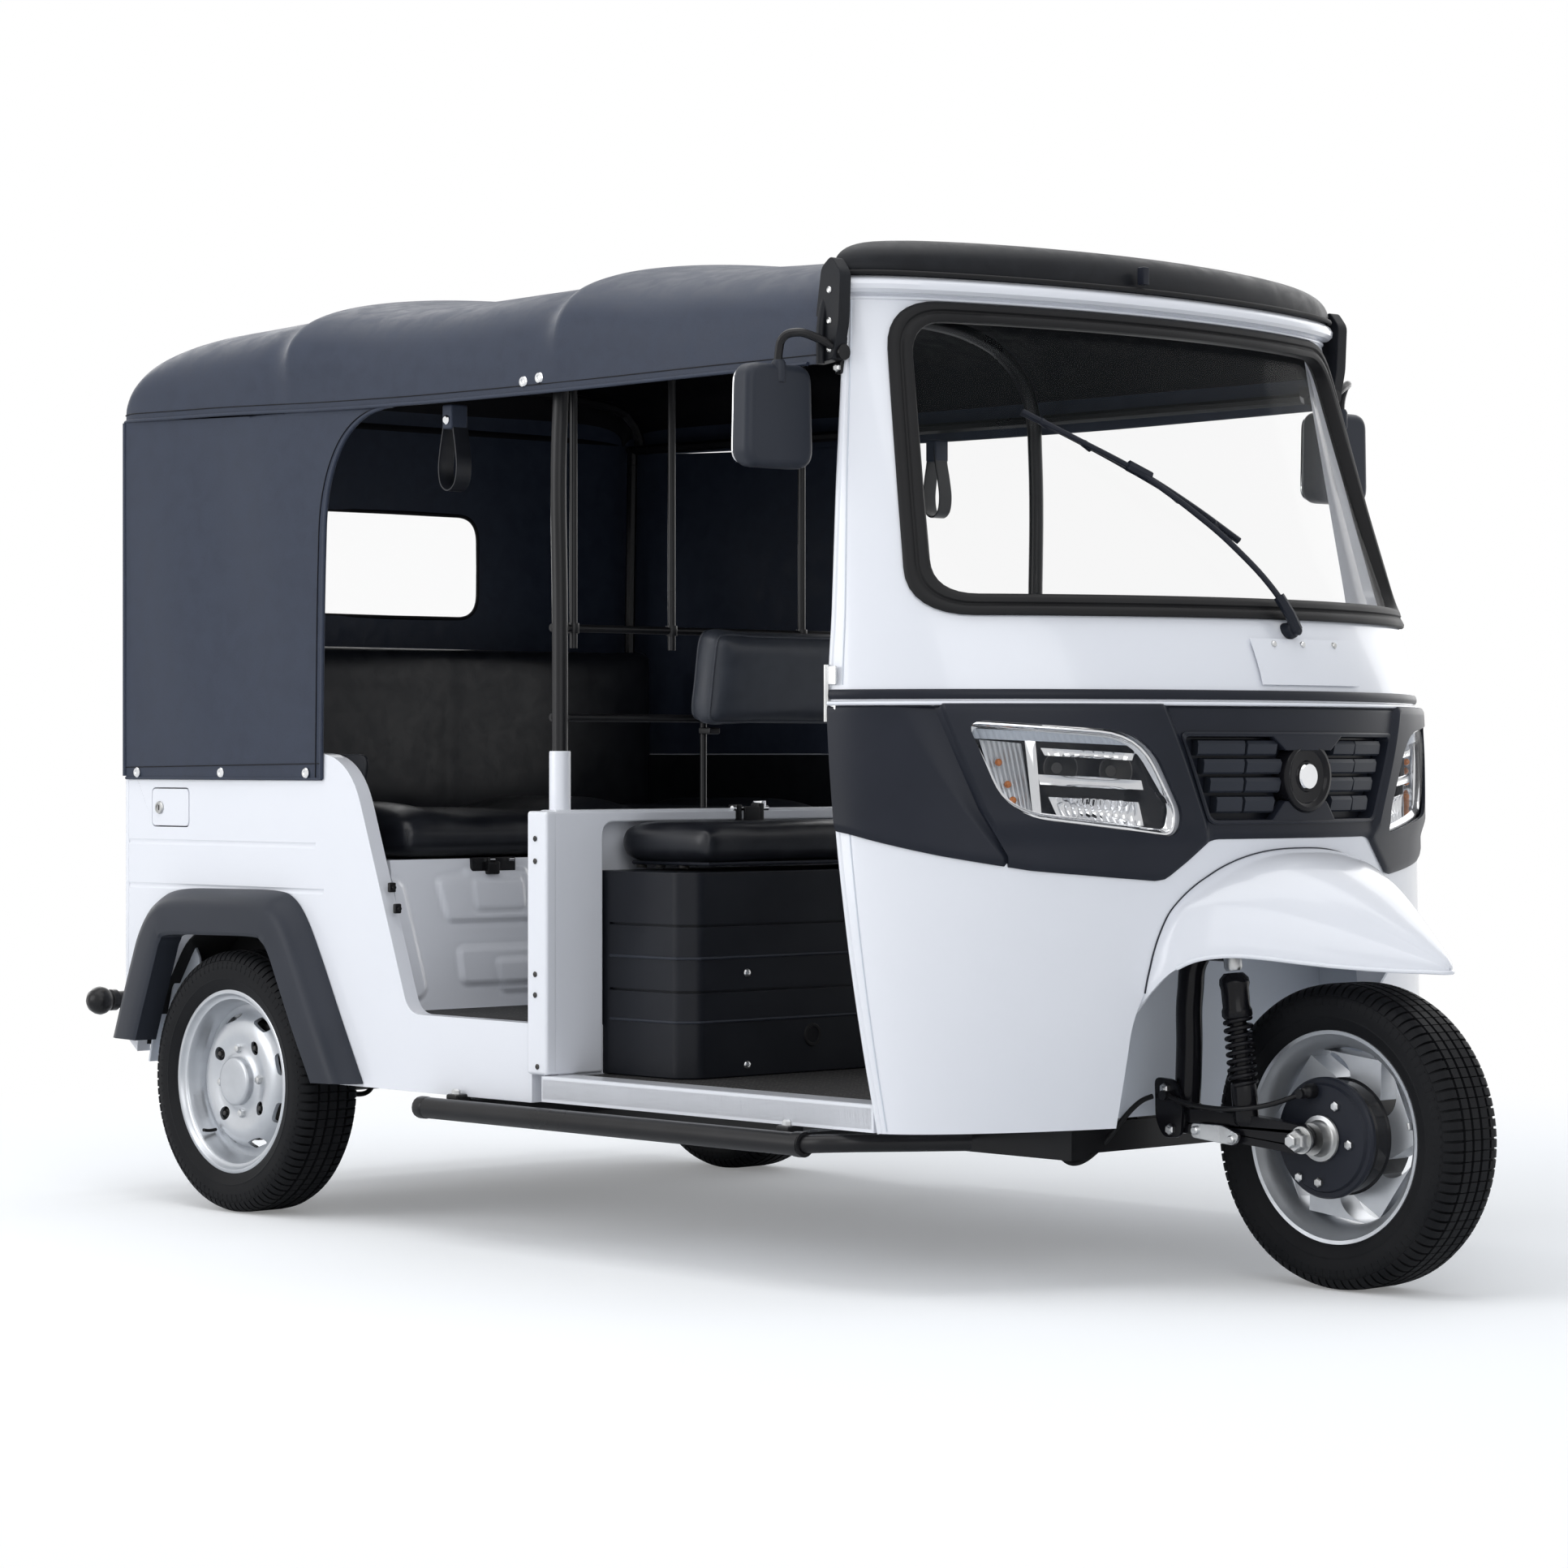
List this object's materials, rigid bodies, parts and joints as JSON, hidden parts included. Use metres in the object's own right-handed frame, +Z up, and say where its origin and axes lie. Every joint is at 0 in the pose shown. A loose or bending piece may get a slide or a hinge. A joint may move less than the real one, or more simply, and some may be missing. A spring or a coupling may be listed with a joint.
{
  "type": "electric passenger tricycle",
  "caption": "Open-sided electric passenger tricycle: white cab and rear body, wrap-round screen, dark vinyl canopy and curtains, driver's seat, rear bench, steered front wheel.",
  "frame": {"origin": "middle of the vehicle's bounding box, on the ground under it", "axes": "+X to the front, +Y to the vehicle's left side, +Z up"},
  "size_m": [2.916, 1.556, 1.742],
  "materials": {
    "white_panels": "gloss",
    "black_plastic": "satin",
    "black_metal": "satin",
    "canopy_vinyl": "matte",
    "seat_vinyl": "satin",
    "silver_metal": "satin",
    "rubber": "matte",
    "tyre_rubber": "matte",
    "clear_glass": "gloss",
    "red_lens": "gloss"
  },
  "bodies": {
    "body": {"nose_apron": "white_panels", "cab_upper": "white_panels", "front_mudguard": "white_panels", "wheel_well": "white_panels", "floor_pan": "white_panels", "bulkhead": "white_panels", "rear_side_right": "white_panels", "rear_side_left": "white_panels", "tail_panel": "white_panels", "bench_base": "white_panels", "front_mask": "black_plastic", "grille": "black_plastic", "arch_flare_right": "black_plastic", "arch_flare_left": "black_plastic", "roof_cap": "black_plastic", "seat_box": "black_plastic", "mirror_right": "black_plastic", "mirror_left": "black_plastic", "wiper": "black_plastic", "chassis_frame": "black_metal", "rear_frame": "black_metal", "steering_neck": "black_metal", "side_hoop": "black_metal", "partition_frame": "black_metal", "roof_frame": "black_metal", "roof_rail_right": "black_metal", "roof_rail_left": "black_metal", "side_guard_right": "black_metal", "side_guard_left": "black_metal", "rear_bumper": "black_metal", "rear_axle": "black_metal", "canopy": "canopy_vinyl", "curtain_right": "canopy_vinyl", "curtain_left": "canopy_vinyl", "rear_curtain": "canopy_vinyl", "bench_cushion": "seat_vinyl", "bench_backrest": "seat_vinyl", "driver_backrest": "seat_vinyl", "strap_right": "seat_vinyl", "strap_left": "seat_vinyl", "drive_motor": "silver_metal", "screen_gasket": "rubber", "windscreen": "clear_glass", "rear_window": "clear_glass", "headlamp_right": "clear_glass", "headlamp_left": "clear_glass", "tail_lamp_right": "red_lens", "tail_lamp_left": "red_lens"},
    "steering": {"steering_fork": "black_metal", "handlebar": "black_plastic"},
    "front_wheel": {"front_tyre": "tyre_rubber", "front_rim": "silver_metal"},
    "rear_wheel_right": {"rear_tyre_right": "tyre_rubber", "rear_rim_right": "silver_metal"},
    "rear_wheel_left": {"rear_tyre_left": "tyre_rubber", "rear_rim_left": "silver_metal"},
    "charge_lid": {"charge_lid": "white_panels"},
    "driver_seat": {"driver_cushion": "seat_vinyl"}
  },
  "joints": [
    {"name": "steering", "type": "hinge", "parent": "body", "child": "steering", "pos_m": [1.02, 0, 0.56], "axis": [-0.4066, 0, 0.9136], "range_deg": [-38, 38]},
    {"name": "front_wheel_spin", "type": "hinge", "parent": "steering", "child": "front_wheel", "pos_m": [1.211, 0, 0.247], "axis": [0, 1, 0], "continuous": true},
    {"name": "rear_wheel_right_spin", "type": "hinge", "parent": "body", "child": "rear_wheel_right", "pos_m": [-0.949, -0.621, 0.247], "axis": [0, 1, 0], "continuous": true},
    {"name": "rear_wheel_left_spin", "type": "hinge", "parent": "body", "child": "rear_wheel_left", "pos_m": [-0.949, 0.621, 0.247], "axis": [0, 1, 0], "continuous": true},
    {"name": "charge_lid_hinge", "type": "hinge", "parent": "body", "child": "charge_lid", "pos_m": [-1.128, -0.652, 0.762], "axis": [0, 0, 1], "range_deg": [0, 100]},
    {"name": "driver_seat_hinge", "type": "hinge", "parent": "body", "child": "driver_seat", "pos_m": [0.186, 0, 0.673], "axis": [0, 1, 0], "range_deg": [0, 75]}
  ]
}
